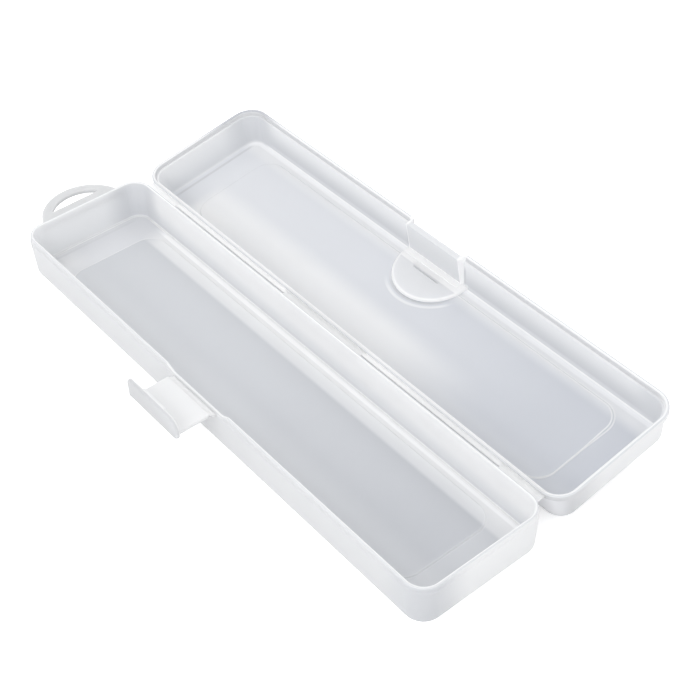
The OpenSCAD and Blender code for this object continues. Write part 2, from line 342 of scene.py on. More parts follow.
def lid_rings():
    """The lid tray, face down, from its outside panel over the skirt to its inside panel."""
    outer = partial(lean_at, BASE_R, LID_LEAN, LID_H)
    inner = partial(lean_at, BASE_R - LID_WALL, LID_LEAN, LID_H)
    band = LID_H - BAND_H
    slope = band - SKIRT_OUT
    skirt_out = BASE_R + SKIRT_OUT
    skirt_in = BASE_R - SKIRT_IN
    plain = [(outer(0), 0, LID_EDGE), (outer(slope), slope, 0.35), (skirt_out, band, 0.35),
             (skirt_out, LID_H, 0.3), (skirt_in, LID_H, 0.3), (skirt_in, SKIRT_FOOT, 0.2),
             (inner(SKIRT_FOOT), SKIRT_FOOT, 0.25), (inner(LID_FLOOR), LID_FLOOR, LID_FILLET)]
    pocketed = [(outer(0), 0, LID_EDGE), (POCKET_OUT, POCKET_LOW, 0.35), (POCKET_OUT, band, 0.05),
                (POCKET_OUT, POCKET_TOP, 0.25), (POCKET_TOP_STEPS[0], POCKET_TOP, 0.05),
                (POCKET_TOP_STEPS[1], POCKET_TOP, 0.05), (POCKET_IN, POCKET_TOP, 0.3),
                (POCKET_IN, LID_FLOOR, 0.5)]
    # The two ends only give the corners beside them a direction to be eased in.
    start = (2.0, 0, 0)
    stop = (1.5, LID_FLOOR, 0)
    turns_at = [0] + [POCKET_OUT_AT] * 5 + [POCKET_IN_AT] * 3 + [0]
    rings = section_rings([start] + plain + [stop], [start] + pocketed + [stop], turns_at)
    return panel_rings(LID_PANEL, 0)[::-1] + rings[1:-1] + panel_rings(LID_PANEL, LID_FLOOR)


def add_plate(bm, corners, low, high, ease_low=0.0, ease_high=0.0):
    """An outline with eased corners, given a thickness and eased edges."""
    spots = [bm.verts.new((x, y, low)) for x, y, _ in corners]
    bm.faces.new(spots)
    for spot, (*_, ease) in zip(spots, corners):
        if ease:
            round_corners(bm, [spot], ease, CORNER_STEPS)
    thicken(bm, bm.faces[:], high - low, ease_low, ease_high)


def thicken(bm, faces, height, ease_low, ease_high):
    """Extrudes flat faces up and eases the edges round them."""
    bmesh.ops.recalc_face_normals(bm, faces=faces)
    low_rim = [edge for edge in bm.edges if edge.is_boundary]
    raised = bmesh.ops.extrude_face_region(bm, geom=faces, use_keep_orig=True)["geom"]
    top = [item for item in raised if isinstance(item, bmesh.types.BMVert)]
    high_rim = [item for item in raised if isinstance(item, bmesh.types.BMEdge)
                and sum(face in raised for face in item.link_faces) == 1]
    bmesh.ops.translate(bm, verts=top, vec=(0, 0, height))
    bmesh.ops.recalc_face_normals(bm, faces=bm.faces[:])
    for rim, ease in ((low_rim, ease_low), (high_rim, ease_high)):
        if ease:
            bmesh.ops.bevel(bm, geom=rim, offset=ease, offset_type="OFFSET", segments=RIM_STEPS,
                            profile=0.5, affect="EDGES", material=-1)


# Making pieces

def to_mesh(name, bm, place=Matrix.Identity(4)):
    """Turns a shape in millimetres into an object in metres, its faces pointing out."""
    bmesh.ops.remove_doubles(bm, verts=bm.verts[:], dist=1e-4)
    bmesh.ops.transform(bm, matrix=Matrix.Scale(MM, 4) @ place, verts=bm.verts[:])
    bmesh.ops.recalc_face_normals(bm, faces=bm.faces[:])
    mesh = bpy.data.meshes.new(name)
    bm.to_mesh(mesh)
    bm.free()
    piece = bpy.data.objects.new(name, mesh)
    bpy.context.scene.collection.objects.link(piece)
    return piece


def combine(piece, other, operation):
    """Joins or cuts piece with other, which is used up."""
    change = piece.modifiers.new("combine", "BOOLEAN")
    change.object = other
    change.operation = operation
    change.solver = "EXACT"
    bpy.context.view_layer.update()
    seen = piece.evaluated_get(bpy.context.evaluated_depsgraph_get())
    mesh = bpy.data.meshes.new_from_object(seen)
    piece.modifiers.clear()
    piece.data = mesh
    bpy.data.objects.remove(other)


def dress(piece, material, slot, *nodes):
    """Gives a piece its finish and its smooth shading, and hides the CAD parts that it takes the place of.
    """
    piece.data.materials.clear()
    piece.data.materials.append(material)
    piece.data.shade_smooth()
    piece.data.set_sharp_from_angle(angle=SHARP_FROM)
    even = piece.modifiers.new("even_shading", "WEIGHTED_NORMAL")
    even.keep_sharp = True
    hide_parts(*nodes)


# Finishes

class Wire:
    """A value in a finish; arithmetic on it adds Math nodes."""

    def __init__(self, finish, socket):
        self.finish = finish
        self.socket = socket

    def math(self, operation, *others):
        """One Math node, with this value as its first input."""
        return self.finish.add("ShaderNodeMath", {"operation": operation},
                               dict(enumerate((self, *others))))

    def __add__(self, other):
        return self.math("ADD", other)

    def __sub__(self, other):
        return self.math("SUBTRACT", other)

    def __rsub__(self, other):
        return self.finish.add("ShaderNodeMath", {"operation": "SUBTRACT"}, {0: other, 1: self})

    def __mul__(self, other):
        return self.math("MULTIPLY", other)

    def __truediv__(self, other):
        return self.math("DIVIDE", other)

    def __abs__(self):
        return self.math("ABSOLUTE")

    __radd__ = __add__
    __rmul__ = __mul__


def reach_to(x, y):
    """How far a place is from where both its values are 0."""
    return (x * x + y * y).math("SQRT")


class Finish:
    """A material, built from nodes."""

    def __init__(self, name):
        self.material = bpy.data.materials.new(name)
        self.material.use_nodes = True
        self.tree = self.material.node_tree
        self.tree.nodes.clear()

    def add(self, kind, settings, inputs, output=0):
        """One node of any kind; its inputs are values or other nodes' outputs."""
        node = self.tree.nodes.new(kind)
        for key, value in settings.items():
            setattr(node, key, value)
        for key, value in inputs.items():
            if isinstance(value, Wire):
                self.tree.links.new(value.socket, node.inputs[key])
            else:
                node.inputs[key].default_value = value
        return Wire(self, node.outputs[output])

    def mix(self, share, first, second):
        """The first colour where share is 0, and the second where it is 1."""
        return self.add("ShaderNodeMix", {"data_type": "RGBA"}, {0: share, 6: first, 7: second}, 2)

    def ramp(self, value, low, high, shape="SMOOTHSTEP"):
        """Rises from 0 to 1 as value goes from low to high, whichever is larger."""
        return self.add("ShaderNodeMapRange", {"interpolation_type": shape},
                        {"Value": value, "From Min": low, "From Max": high})

    def noise(self, place, scale, detail):
        """Soft random shades between 0 and 1."""
        return self.add("ShaderNodeTexNoise", {}, {"Vector": place, "Scale": scale, "Detail": detail})

    def place(self, location=(0, 0, 0), rotation=(0, 0, 0), stretch=1.0):
        """Place on the piece in millimetres, in a frame at location turned by rotation."""
        spot = self.add("ShaderNodeTexCoord", {}, {}, 3)
        return self.add("ShaderNodeMapping", {"vector_type": "TEXTURE"},
                        {"Vector": spot, "Location": [MM * c for c in location],
                         "Rotation": rotation, "Scale": (MM * stretch, MM, MM)})

    def parts(self, place):
        """The three values of a place."""
        return [self.add("ShaderNodeSeparateXYZ", {}, {"Vector": place}, i) for i in range(3)]

    def depth(self, x, y, half_l, half_w, radius):
        """How far a place lies inside a rectangle with round corners."""
        out_x = (abs(x) - (half_l - radius)).math("MAXIMUM", 0.0)
        out_y = (abs(y) - (half_w - radius)).math("MAXIMUM", 0.0)
        return radius - reach_to(out_x, out_y)

    def plastic(self, colour, rough, bump, **constants):
        """Ends the finish in one plastic shader, whose other settings are constants."""
        settings = {key.replace("_", " "): value for key, value in constants.items()}
        return self.close(self.add("ShaderNodeBsdfPrincipled", {},
                                   {"Base Color": colour, "Roughness": rough, "Normal": bump,
                                    "IOR": 1.49, **settings}))

    def close(self, shader):
        """Puts a shader on the material's surface."""
        end = self.tree.nodes.new("ShaderNodeOutputMaterial")
        self.tree.links.new(shader.socket, end.inputs["Surface"])
        return self.material


# Light soaks a few millimetres into the plastic.
BODY = {"Subsurface_Weight": 0.7, "Subsurface_Radius": (1.0, 1.0, 1.0), "Subsurface_Scale": 3 * MM}
WALL_OUTSIDE = (0.655, 0.66, 0.67, 1)
# Painted light: the outer faces are paler at the near end.
END_OUTSIDE = (0.80, 0.805, 0.81, 1)
# Painted shade in the back corners of the inner walls.
CORNER_SHADE = (0.64, 0.65, 0.67, 1)
# Painted shade at one far corner of a rim.
RIM_CORNER_SHADE = (0.46, 0.47, 0.50, 1)
# White for painted highlights on edges, lines, floors and the foot fillets, and for the plastic's random
# cloudiness.
HIGHLIGHT_AND_CLOUD_WHITE = (0.93, 0.935, 0.94, 1)
# Painted highlight on the inner half of a rim.
RIM_HIGHLIGHT = (0.86, 0.865, 0.87, 1)
RIM_SHADE = (0.64, 0.65, 0.67, 1)
# Painted shade line along the foot of the inner walls.
FOOT_SHADE = (0.66, 0.67, 0.69, 1)
CATCH_TONE = (0.76, 0.77, 0.79, 1)
# Painted highlight on the catch's edges and a painted light line round it.
CATCH_HIGHLIGHT = (1.0, 1.0, 1.0, 1)
SLOT_SHADE = (0.85, 0.86, 0.88, 1)
RING_SHADE = (0.56, 0.57, 0.59, 1)
LOOP_TONE = (0.595, 0.60, 0.605, 1)
LATCH_TONE = (0.80, 0.805, 0.81, 1)
# Painted shade on the flap's outer face.
FLAP_SHADE = (0.54, 0.545, 0.555, 1)
NECK_TONE = (0.80, 0.805, 0.81, 1)
WEB_TONE = (0.90, 0.905, 0.91, 1)
# Pure white for the ledge, as painted light.
LEDGE_LIT_TONE = (1.0, 1.0, 1.0, 1)
# The pocket face's tones, painted paler towards the top, and its rim's painted shade.
POCKET_TONE = (0.69, 0.70, 0.715, 1)
POCKET_PALE = (0.76, 0.765, 0.775, 1)
# Painted glow, through Emission, where light soaks through the plastic or a highlight falls.
GAP_LIGHT = (0.15, 0.15, 0.155, 1)
FOOT_LIGHT = (0.14, 0.14, 0.14, 1)
WEB_LIGHT = (0.04, 0.04, 0.04, 1)
FAR_WEB_LIGHT = (0.14, 0.14, 0.14, 1)
LEDGE_LIGHT = (0.15, 0.15, 0.15, 1)
NO_LIGHT = (0, 0, 0, 1)


# Limits in the finishes are places on a piece, in millimetres, between which a share goes from 0 to 1.

def base_sheen(finish, x, y, near):
    """A painted sheen: a bright band with a fairly sharp edge along the back wall, and a faint one in
    front.
    """
    band = finish.ramp(y, 12.9, 14.6) * 0.62 + finish.ramp(y, 14.5, 19.0, "LINEAR") * 0.6
    front = finish.ramp(y, -4.0, -13.0) * (0.2 + 0.35 * finish.ramp(x, -84.0, -90.0))
    return front + band * (1.0 - 0.3 * near) * finish.ramp(x, -89.0, -78.0)


def lid_sheen(finish, x, y, _):
    """A painted sheen: a bright patch on the hinge side of the far half, and a softer band along the far
    wall.
    """
    patch = finish.ramp(y, 0.0, -9.0) * finish.ramp(x, 56.0, 4.0) * finish.ramp(x, -90.0, -83.0)
    in_corner = finish.ramp(y, -10.0, -15.0) * finish.ramp(x, -60.0, -80.0)
    near_corner = finish.ramp(y, -10.0, -16.0) * finish.ramp(x, 20.0, 50.0)
    hinge_side = (0.7 + 0.3 * in_corner) * patch + 0.15 * near_corner
    return hinge_side.math("MAXIMUM", finish.ramp(y, 13.0, 18.0) * 0.55)


# What sets one tray's finish apart: its sizes; its floor, which fades from far to near with a panel of
# another tone at the far end;
# the painted highlight line round that panel, its painted sheen and painted shade line; the painted light
# and shade of its walls, shoulder, outer corner and rim.
BASE_LOOK = {
    "panel_size": BASE_PANEL, "floor": BASE_FLOOR + PANEL_STEP, "rim": BASE_H, "wall_t": BASE_WALL,
    "lean": BASE_LEAN, "rim_middle": 0.95, "gap_side": 1,
    "far": (0.77, 0.78, 0.805, 1), "near": (0.52, 0.535, 0.565, 1), "panel": (0.63, 0.645, 0.67, 1),
    "sheen": base_sheen, "floor_edge_shade_x": -95.8, "floor_edge_shade": 0.3, "far_highlight_cut": 0.45, "near_margin": 0.16,
    "line_end": (60.0, 10.0), "line_spread": 0.0, "line": 0.35, "far_line": 1.9, "near_line": 0.2,
    "foot": (0.78, 0.79, 0.80, 1), "top": (0.86, 0.865, 0.875, 1),
    "back_foot": (0.72, 0.73, 0.75, 1), "back_top": (1.0, 1.0, 1.0, 1), "back_rise": 0.6,
    "corner": (0.58, 0.59, 0.61, 1), "shoulder": (0.42, 0.425, 0.44, 1), "near_corner_shade": 0.0, "rim_corner_shade": 0.0}
LID_LOOK = {
    "panel_size": LID_PANEL, "floor": LID_FLOOR + PANEL_STEP, "rim": LID_H, "wall_t": LID_WALL,
    "lean": LID_LEAN, "rim_middle": -0.25, "gap_side": -1,
    "far": (0.76, 0.775, 0.81, 1), "near": (0.58, 0.60, 0.645, 1), "panel": (0.74, 0.755, 0.79, 1),
    "sheen": lid_sheen, "floor_edge_shade_x": -95.6, "floor_edge_shade": 0.8, "far_highlight_cut": 0.75, "near_margin": 0.0,
    "line_end": (-60.0, -20.0), "line_spread": 0.4, "line": 0.5, "far_line": 0.0, "near_line": 0.0,
    "foot": (0.68, 0.69, 0.71, 1), "top": (0.84, 0.845, 0.85, 1),
    "back_foot": (0.58, 0.59, 0.61, 1), "back_top": (0.82, 0.825, 0.835, 1), "back_rise": 0.8,
    "corner": (0.58, 0.585, 0.60, 1), "shoulder": (1.0, 1.0, 1.0, 1), "near_corner_shade": 0.7, "rim_corner_shade": 1.0}


def moulded_grain(finish, place):
    """The fine satin grain that the mould leaves."""
    grain = finish.noise(place, 3.0, 3.0)
    return finish.add("ShaderNodeBump", {}, {"Height": grain, "Strength": 0.04, "Distance": 0.05 * MM})


def frosted(name, tone, glow=NO_LIGHT, near_shade=None, far_glow=None):
    """Frosted polypropylene in one tone, softly cloudy, with a painted glow for the light that soaks
    through it, painted shade along one stretch where near_shade is given and more painted glow at the far
    end where far_glow is given.
    """
    finish = Finish(name)
    place = finish.place()
    cloud = finish.noise(place, 0.08, 1.0)
    colour = finish.mix(0.25 * cloud, tone, HIGHLIGHT_AND_CLOUD_WHITE)
    along = finish.parts(place)[0]
    # Painted shade along one stretch.
    if near_shade:
        share, begins, full = near_shade
        colour = finish.mix(share * finish.ramp(along, begins, full), colour, RIM_SHADE)
    # More painted glow at the far end.
    if far_glow:
        glow = finish.mix(finish.ramp(along, -76.0, -82.0), glow, far_glow)
    return finish.plastic(colour, 0.36 + 0.1 * cloud, moulded_grain(finish, place), Emission_Color=glow,
                          Emission_Strength=1.0, **BODY)


def frosted_latch(name):
    """The latch, whose flap carries painted shade that makes it less bright outside than the strap, most
    of all below its top.
    """
    finish = Finish(name)
    place = finish.place((LATCH_X, LATCH_Y, NOTCH_Z))
    x, y, z = finish.parts(place)
    # Painted shade on the flap, darker towards one end.
    flap = finish.mix(0.35 * finish.ramp(x + 2.2 * z, 8.0, 22.0), FLAP_SHADE, RIM_SHADE)
    colour = finish.mix(finish.ramp(y, 1.0 - STRAP_L, 0.6 - STRAP_L), LATCH_TONE, flap)
    return finish.plastic(colour, 0.38, moulded_grain(finish, place), **BODY)


def catch_floor(finish, x, y, z, colour):
    """The raised half round of the lid, with painted highlights on its edges, a painted light line and a
    painted shade line round it, and painted shade in the slot.
    """
    across = x - LATCH_X
    reach = reach_to(across - CATCH_SHIFT[0], y - FRONT + RECESS_IN - CATCH_SHIFT[1])
    # Painted light line and painted shade line round the half round.
    below = finish.ramp(y, 15.0, 9.0) * finish.ramp(across, -11.0, -3.0) * finish.ramp(z, 1.9, 1.5)
    lit = finish.ramp(abs(reach - (RECESS_R + 3.1)), 0.8, 0.2)
    shaded = finish.ramp(abs(reach - (RECESS_R + 1.6)), 0.6, 0.2)
    colour = finish.mix(0.4 * lit * below, colour, CATCH_HIGHLIGHT)
    colour = finish.mix(0.8 * shaded * below, colour, RING_SHADE)
    # Painted highlight on the half round's edge.
    raised = finish.ramp(reach, RECESS_R + 1.4, RECESS_R + 1.2) * finish.ramp(z, 1.35, 1.6)
    inner = finish.ramp(reach, RECESS_R + 0.8, RECESS_R - 0.1) * finish.ramp(y, 16.9, 16.3)
    foot = finish.ramp(z, 3.4, 2.9) * finish.ramp(y, 21.5, 20.9)
    colour = finish.mix(raised * foot, colour, finish.mix(inner, CATCH_HIGHLIGHT, CATCH_TONE))
    # Painted shade in the slot.
    slot_x, slot_y = abs(x - SLOT_SEEN[0]), abs(y - (SLOT_SEEN[1] + 0.6))
    in_slot = finish.ramp(slot_x, 6.6, 6.4) * finish.ramp(slot_y, 1.2, 1.0)
    return finish.mix(in_slot * finish.ramp(z, 2.36, 2.3) * finish.ramp(z, 1.3, 1.5), colour, SLOT_SHADE)


def catch_pocket(finish, x, y, z, colour):
    """The pocket's face behind the half round, with painted light that makes it paler towards the top,
    painted highlights on its sides, shade beside them and painted shade on its rim.
    """
    across = abs(x - LATCH_X)
    on_wall = finish.ramp(y, 19.4, 19.9) * finish.ramp(z, 2.6, 3.0)
    # Painted shade beside the pocket's sides.
    beside = finish.ramp(abs(across - 13.8), 0.7, 0.2) * finish.ramp(z, 11.0, 8.0)
    colour = finish.mix(0.7 * beside * on_wall, colour, RING_SHADE)
    # Painted light: the face is paler towards the top.
    face = finish.ramp(across, 12.3, 11.9) * finish.ramp(y, 21.4, 21.0)
    face_tone = finish.mix(finish.ramp(z, 3.0, 13.0), POCKET_TONE, POCKET_PALE)
    colour = finish.mix(face * on_wall, colour, face_tone)
    # Painted highlights on the pocket's sides.
    colour = finish.mix(finish.ramp(abs(across - 12.7), 0.8, 0.4) * on_wall, colour, CATCH_HIGHLIGHT)
    # Painted shade on the pocket's rim.
    rim = finish.ramp(across, 11.8, 11.4) * finish.ramp(z, 12.8, 13.0) * finish.ramp(y, 20.0, 20.3)
    return finish.mix(rim, colour, POCKET_TONE)


class TrayPlace:
    """Where a shaded point lies on a tray, in the tray's own frame, and what follows from it."""

    def __init__(self, finish, look, location, rotation):
        self.spot = finish.place(location, rotation)
        self.x, self.y, self.z = finish.parts(self.spot)
        self.cloud = finish.noise(finish.place(location, rotation, stretch=4.0), 0.05, 1.0)
        self.above = self.z - look["floor"]
        self.edge = finish.depth(self.x, self.y, CORE_L + BASE_R, CORE_W + BASE_R, BASE_R)
        self.inward = self.edge - look["lean"] * (1.0 - self.z / look["rim"])
        self.past_wall = self.inward - look["wall_t"]
        self.outside = finish.ramp(self.inward, 0.6 * look["wall_t"], 0.4 * look["wall_t"])
        self.far_end = finish.ramp(self.x, -88.0, -93.0)
        self.near = finish.ramp(self.x + 40 * (self.cloud - 0.5), -95.0, 70.0, "LINEAR")


def tray_wall(finish, at, look):
    """Inner faces with painted light and shade: paler towards the top, with their own painted tones on the
    back wall, painted shade in the back corners and a painted shade line along the foot.
    """
    # Painted light: paler towards the top, with the back wall's own painted tones.
    rise = finish.ramp(at.above, 0.0, look["rim"] - look["floor"], "LINEAR")
    wall = finish.mix(rise, look["foot"], look["top"])
    back_rise = finish.ramp(at.above, 1.0, look["back_rise"] * look["rim"])
    back = finish.mix(back_rise, look["back_foot"], look["back_top"])
    wall = finish.mix(finish.ramp(at.y, 14.0, 20.0), wall, back)
    # Painted shade line along the foot.
    foot = finish.ramp(at.above, 0.3, 0.7) * finish.ramp(at.above, 2.0, 0.9)
    at_wall = finish.ramp(at.past_wall, 2.8, 1.8)
    wall = finish.mix(foot * at_wall * (1.0 - at.far_end), wall, FOOT_SHADE)
    # Painted shade in the back corners.
    at_back = finish.ramp(at.y, 6.0, 16.0)
    wall = finish.mix(0.85 * finish.ramp(at.x, -84.0, -93.0) * at_back, wall, CORNER_SHADE)
    return finish.mix(finish.ramp(at.x, 82.0, 92.0) * at_back * look["near_corner_shade"], wall, CORNER_SHADE)


def tray_skin(finish, at, look):
    """Outer faces: painted light that makes the near end paler, and painted shade round one near corner.
    """
    # Painted light: paler outside at the near end.
    skin = finish.mix(finish.ramp(at.x, 92.0, 98.0), WALL_OUTSIDE, END_OUTSIDE)
    # Painted shade round the near corner.
    return finish.mix(finish.ramp(reach_to(at.x - 98.0, at.y + 21.0), 17.0, 2.0), skin, look["corner"])


def tray_rim(finish, at, look):
    """The rim: painted shade outside its middle line and a painted highlight inside it, and painted shade
    at one far corner in the share the look gives.
    """
    middle = look["rim_middle"]
    # Painted shade on the outer half of the rim and a painted highlight on the inner half.
    rim = finish.mix(finish.ramp(at.edge, middle - 0.15, middle + 0.15), RIM_SHADE, RIM_HIGHLIGHT)
    # Painted shade at one far corner.
    far_corner = finish.ramp(at.x, -80.0, -94.0) * finish.ramp(at.y, -4.0, 14.0)
    return finish.mix(look["rim_corner_shade"] * far_corner, rim, RIM_CORNER_SHADE)


def tray_floor(finish, at, look, sheen):
    """The floor: a panel with a painted highlight line round it, painted light that pales the margin and
    panel edge at the near end, a painted sheen, and a painted shade line at the far end.
    """
    in_panel = finish.depth(at.x, at.y, *look["panel_size"], PANEL_R)
    margin = finish.mix(at.near, look["far"], look["near"])
    panel = finish.mix(at.near, look["panel"], look["near"])
    floor = finish.mix(finish.ramp(in_panel, -0.2, 0.3), margin, panel)
    # Painted highlight line round the panel.
    spread = finish.ramp(at.y, -2.0, 12.0) * look["line_spread"]
    line_reach = finish.ramp(at.x, *look["line_end"]) + look["far_line"] * finish.ramp(at.x, -70.0, -80.0)
    line_share = look["line"] + 0.25 * finish.ramp(at.y, 16.5, 12.5)
    line = finish.ramp(abs(abs(in_panel) - spread), 0.4, 0.05) * line_reach
    floor = finish.mix(line * line_share, floor, HIGHLIGHT_AND_CLOUD_WHITE)
    # Painted light: paler margin and panel edge at the near end.
    near_line = look["near_line"] * finish.ramp(abs(in_panel), 0.7, 0.2)
    near_pale = look["near_margin"] * finish.ramp(in_panel, 0.3, -0.2) + near_line
    floor = finish.mix(near_pale * finish.ramp(at.x, 70.0, 84.0), floor, HIGHLIGHT_AND_CLOUD_WHITE)
    # Painted sheen.
    floor = finish.mix(sheen, floor, HIGHLIGHT_AND_CLOUD_WHITE)
    # Painted shade line where the far wall's fillet meets the floor.
    floor_edge_shade = finish.ramp(abs(at.x - look["floor_edge_shade_x"]), 0.8, 0.2) * finish.ramp(abs(at.y), 19.0, 15.0)
    return finish.mix(look["floor_edge_shade"] * floor_edge_shade, floor, RIM_SHADE)


def tray_glow(finish, at, look, sheen):
    """Painted glow: light that soaks through the outer face beside the hinge gap, and a painted highlight
    along the foot of the back wall.
    """
    # Painted glow beside the hinge gap.
    beside_gap = finish.ramp(at.y * look["gap_side"], 18.0, 21.0) * finish.ramp(abs(at.x), 101.0, 96.0)
    height = finish.ramp(at.z, 0.5, 4.0) * finish.ramp(at.z, look["rim"] - 1.8, look["rim"] - 2.6)
    glow = finish.mix(beside_gap * at.outside * height, NO_LIGHT, GAP_LIGHT)
    # Painted highlight along the foot of the back wall.
    foot_line = finish.ramp(abs(at.past_wall - 1.3), 1.0, 0.3) * finish.ramp(at.above, 0.6, 0.3)
    return finish.mix(foot_line * sheen * finish.ramp(at.y, 16.0, 18.0), glow, FOOT_LIGHT)


def frosted_tray(name, look, details=(), location=(0, 0, 0), rotation=(0, 0, 0)):
    """Frosted polypropylene of a tray: pale walls with painted light and shade, painted highlights on its
    edges and a clearer, bluish floor.
    """
    finish = Finish(name)
    at = TrayPlace(finish, look, location, rotation)
    rim = look["rim"]
    colour = finish.mix(at.outside, tray_wall(finish, at, look), tray_skin(finish, at, look))
    # Painted shade on the base's hinge-side shoulder, and painted light on the lid's.
    hinge_side = finish.ramp(at.y * look["gap_side"], 22.0, 22.4) * finish.ramp(abs(at.x), 95.0, 92.0)
    on_shoulder = hinge_side * finish.ramp(at.z, rim - 2.6, rim - 2.2)
    colour = finish.mix(on_shoulder, colour, look["shoulder"])
    # Painted highlight and shade on the rim.
    colour = finish.mix(finish.ramp(at.z, rim - 0.3, rim - 0.1), colour, tray_rim(finish, at, look))
    # Painted highlight on the fillet at the foot of the inner walls, weaker at the far end.
    low = finish.ramp(at.above, 0.5, 0.2) * (1.0 - at.outside) * (1.0 - look["far_highlight_cut"] * at.far_end)
    colour = finish.mix(low, colour, HIGHLIGHT_AND_CLOUD_WHITE)
    # Painted sheen on the floor.
    sheen = look["sheen"](finish, at.x, at.y, at.near)
    on_floor = finish.ramp(at.past_wall, 0.3, 0.7) * finish.ramp(at.above, 0.25, 0.1)
    colour = finish.mix(on_floor, colour, tray_floor(finish, at, look, sheen))
    for detail in details:
        colour = detail(finish, at.x, at.y, at.z, colour)
    return finish.plastic(colour, 0.4 + 0.08 * at.cloud - 0.2 * on_floor, moulded_grain(finish, at.spot),
                          Emission_Color=tray_glow(finish, at, look, sheen), Emission_Strength=1.0, **BODY)


# Camera, floor and light

def make_camera():
    """A camera at the photographed viewing angle."""
    yaw, pitch, roll = (math.radians(angle) for angle in CAMERA_TURN)
    aim = Vector((math.sin(yaw) * math.cos(pitch), math.cos(yaw) * math.cos(pitch), -math.sin(pitch)))
    level = Vector((math.cos(yaw), -math.sin(yaw), 0))
    rise = level.cross(aim)
    right = math.cos(roll) * level + math.sin(roll) * rise
    up = math.cos(roll) * rise - math.sin(roll) * level
    camera = bpy.data.objects.new("camera", bpy.data.cameras.new("camera"))
    camera.data.sensor_width = CAMERA_SENSOR
    camera.data.lens = CAMERA_LENS
    camera.matrix_world = (Matrix.Translation(MM * Vector(CAMERA_PLACE))
                           @ Matrix((right, up, -aim)).transposed().to_4x4())
    bpy.context.scene.collection.objects.link(camera)
    bpy.context.scene.camera = camera


def make_floor():
    """A white table that keeps the case's shadow and shows white beyond it."""
    finish = Finish("white_table")
    camera_ray, glossy_ray, clear_ray = (
        finish.add("ShaderNodeLightPath", {}, {}, output)
        for output in ("Is Camera Ray", "Is Glossy Ray", "Is Transmission Ray"))
    seen = camera_ray.math("MAXIMUM", glossy_ray.math("MAXIMUM", clear_ray))
    shader = finish.add("ShaderNodeBsdfPrincipled", {},
                        {"Base Color": (0.9, 0.9, 0.9, 1), "Roughness": 0.9, "Specular IOR Level": 0.0,
                         "Emission Color": finish.mix(seen, NO_LIGHT, (0.5, 0.5, 0.5, 1)),
                         "Emission Strength": 1.0})
    bm = bmesh.new()
    bmesh.ops.create_grid(bm, x_segments=1, y_segments=1, size=TABLE_SIZE)
    floor = to_mesh("table", bm)
    floor.data.materials.append(finish.close(shader))


def make_lamp(name, place, target, size, power):
    """A soft lamp in metres, turned to its target."""
    lamp = bpy.data.objects.new(name, bpy.data.lights.new(name, "AREA"))
    lamp.data.shape = "RECTANGLE"
    lamp.data.size, lamp.data.size_y = size
    lamp.data.energy = power
    place = Vector(place)
    turn = (Vector(target) - place).to_track_quat("-Z", "Y").to_matrix().to_4x4()
    lamp.matrix_world = Matrix.Translation(place) @ turn
    bpy.context.scene.collection.objects.link(lamp)


def make_light():
    """An even white studio with two weak lamps that shape the walls."""
    world = bpy.data.worlds.new("studio")
    bpy.context.scene.world = world
    world.use_nodes = True
    background = world.node_tree.nodes["Background"].inputs
    background["Color"].default_value = WORLD_TONE
    background["Strength"].default_value = WORLD_STRENGTH
    make_lamp("back_softbox", (-0.5, 0.7, 0.8), (0, 0.02, 0), (0.9, 0.6), 2)
    make_lamp("side_softbox", (0.3, -0.8, 0.7), (0, 0.02, 0), (0.6, 0.6), 3)


# Pieces

def make_base_tray(material):
    """The base tray, whose front wall dips at the notch."""
    bm = bmesh.new()
    layers = stack_rings(bm, base_rings())
    change_front(bm, layers, -1, {NOTCH_AT: (NOTCH_HIGH - NOTCH_LOW) / 2})
    piece = to_mesh("base_shell", bm)
    dress(piece, material, "base_shell", "base_tray")
    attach(piece, "base")


def recess_corners(radius, front):
    """Outline of the finger recess in the lid's flat frame, round at its inner end."""
    centre = FRONT - RECESS_IN
    # Two arcs of quite the full radius would meet in one point.
    reach = 0.999 * radius
    return [(LATCH_X - radius, front, 0), (LATCH_X - radius, centre - radius, reach),
            (LATCH_X + radius, centre - radius, reach), (LATCH_X + radius, front, 0)]


def slot_corners(middle, along, half_w):
    """Outline of the slot, with nearly round ends."""
    return [(middle + sx * SLOT_HALF_L, along + sy * half_w, 0.8 * half_w)
            for sx, sy in ((-1, 1), (-1, -1), (1, -1), (1, 1))]


def plate_piece(name, corners, low, high, ease_low=0.0, ease_high=0.0, place=Matrix.Identity(4)):
    """A plate as an object of its own."""
    bm = bmesh.new()
    add_plate(bm, corners, low, high, ease_low, ease_high)
    return to_mesh(name, bm, place)


def add_catch(piece):
    """Raises the half round and the sill of the pocket, and cuts the recess and the slot."""
    raised = plate_piece("raised", recess_corners(RECESS_R + LID_WALL, FRONT - CATCH_BACK),
                         CATCH_LOW, CATCH_TOP, 0, CATCH_EASE, Matrix.Translation((*CATCH_SHIFT, 0)))
    combine(piece, raised, "UNION")
    left, right, back = LATCH_X - SILL_HALF, LATCH_X + SILL_HALF, FRONT - SILL_BACK
    sill = [(left, back, 0), (left, SILL_IN, 1.0), (right, SILL_IN, 1.0), (right, back, 0)]
    combine(piece, plate_piece("sill", sill, SILL_LOW, SILL_TOP, 0, SILL_EASE), "UNION")
    recess = plate_piece("recess", recess_corners(RECESS_R, FRONT + CUT_FRONT), -CUT_BELOW, RECESS_D,
                         0, RECESS_EASE)
    combine(piece, recess, "DIFFERENCE")
    slot = plate_piece("slot", slot_corners(LATCH_X, sum(SLOT) / 2, SLOT_HALF_W), -CUT_BELOW, SLOT_TOP)
    combine(piece, slot, "DIFFERENCE")
    slant = Matrix.Translation((0, CATCH_TOP, 0)) @ Matrix.Shear("XY", 4, (0, -1.0))
    seen = plate_piece("seen_slot", slot_corners(*SLOT_SEEN, SLOT_SEEN_HALF_W),
                       SLOT_SEEN_LOW, SLOT_SEEN_TOP, place=slant)
    combine(piece, seen, "DIFFERENCE")


